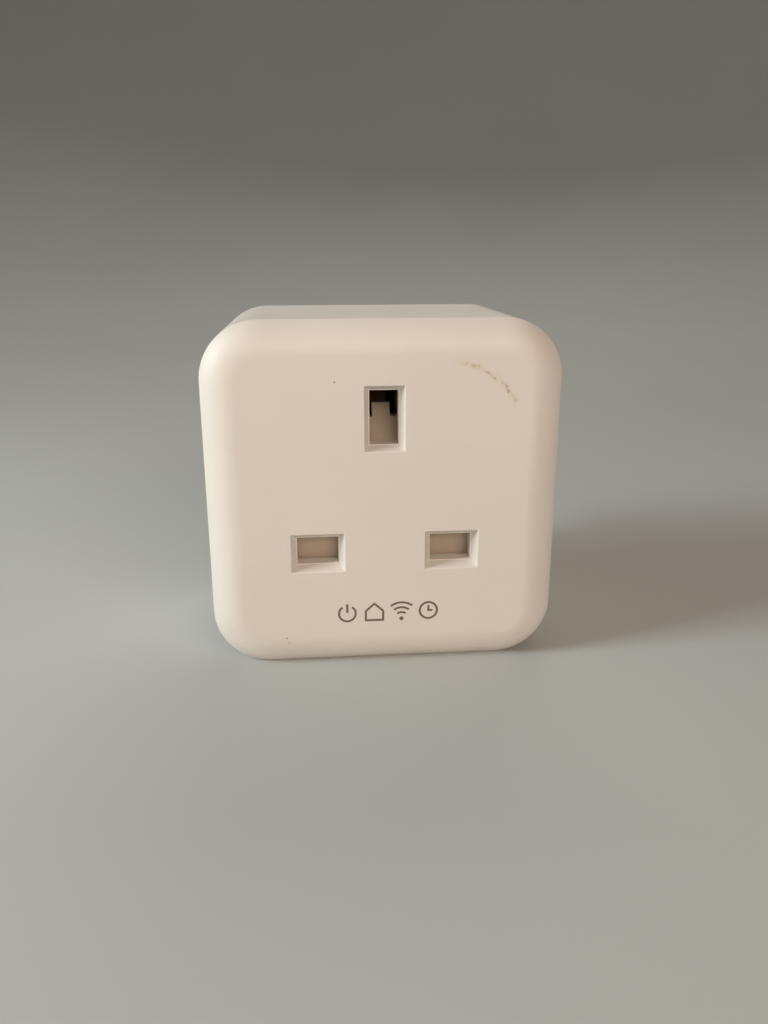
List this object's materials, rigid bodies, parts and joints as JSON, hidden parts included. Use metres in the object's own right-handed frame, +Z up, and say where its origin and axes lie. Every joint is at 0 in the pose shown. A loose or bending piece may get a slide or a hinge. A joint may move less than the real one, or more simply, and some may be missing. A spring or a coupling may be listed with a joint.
{
  "type": "smart plug",
  "caption": "Square plug-through power adaptor with rear pins, a shuttered front socket, and a relay, radio board and push button inside.",
  "frame": {"origin": "on the rear engagement face, midway between the live and neutral pins", "axes": "+X to the right seen from the front, +Y out of the rear face along the pins, +Z up with the earth pin on top"},
  "size_m": [0.0584, 0.0607, 0.058],
  "materials": {
    "white_shell": "fine-textured, satin",
    "shutter_plastic": "satin",
    "carrier_plastic": "satin",
    "clear_plastic": "clear, polished",
    "black_plastic": "satin",
    "relay_plastic": "gloss",
    "bobbin_plastic": "satin",
    "board": "solder mask over glass laminate",
    "radio_laminate": "solder mask over glass laminate",
    "chip_resin": "fine matte resin",
    "brass": "drawn, satin",
    "contact_bronze": "rolled, darkened with age",
    "copper": "enamelled",
    "tin_plate": "bright tinned",
    "iron": "zinc plated",
    "spring_steel": "bright drawn",
    "screw_steel": "zinc plated",
    "can_black": "shrink sleeve",
    "film_yellow": "gloss",
    "varistor_blue": "dipped coating",
    "resistor_green": "cement coating",
    "ferrite": "matte ferrite with shrink sleeve",
    "led_resin": "clear resin"
  },
  "bodies": {
    "casing": {"front_cover": "white_shell", "rear_cover": "white_shell", "cover_screws": "screw_steel", "live_pin": "brass", "neutral_pin": "brass", "earth_pin": "brass", "live_pin_sleeve": "black_plastic", "neutral_pin_sleeve": "black_plastic", "earth_strap": "contact_bronze", "live_contact": "contact_bronze", "neutral_contact": "contact_bronze", "earth_contact": "contact_bronze", "contact_carrier": "carrier_plastic", "carrier_screws": "screw_steel", "shutter_spring": "spring_steel", "main_board": "board", "relay_base": "relay_plastic", "relay_case": "relay_plastic", "relay_bobbin": "bobbin_plastic", "relay_winding": "copper", "relay_core": "iron", "relay_yoke": "iron", "relay_fixed_contact": "copper", "input_capacitor": "can_black", "output_capacitor": "can_black", "film_capacitor": "film_yellow", "varistor": "varistor_blue", "fusible_resistor": "resistor_green", "choke": "ferrite", "power_chip": "chip_resin", "bridge_rectifier": "chip_resin", "regulator": "chip_resin", "flyback_diode": "chip_resin", "radio_board": "radio_laminate", "radio_chip": "chip_resin", "radio_shield": "tin_plate", "button_board": "board", "switch_body": "black_plastic", "status_led": "led_resin", "light_pipe": "clear_plastic"},
    "shutter": {"shutter": "shutter_plastic"},
    "button": {"power_button": "white_shell", "switch_plunger": "black_plastic"},
    "armature": {"relay_armature": "iron", "relay_contact_blade": "copper"}
  },
  "joints": [
    {"name": "shutter_slide", "type": "slide", "parent": "casing", "child": "shutter", "axis": [0, 0, -1], "range_m": [0, 0.006], "stiffness_N_per_m": 60, "springref_m": -0.002, "deforming": ["shutter_spring"]},
    {"name": "button_press", "type": "slide", "parent": "casing", "child": "button", "axis": [-1, 0, 0], "range_m": [0, 0.0003], "stiffness_N_per_m": 4000},
    {"name": "armature_tilt", "type": "hinge", "parent": "casing", "child": "armature", "pos_m": [-0.0211, -0.02535, 0.0118], "axis": [1, 0, 0], "range_deg": [-3, 0], "stiffness_Nm_per_rad": 0.02}
  ]
}
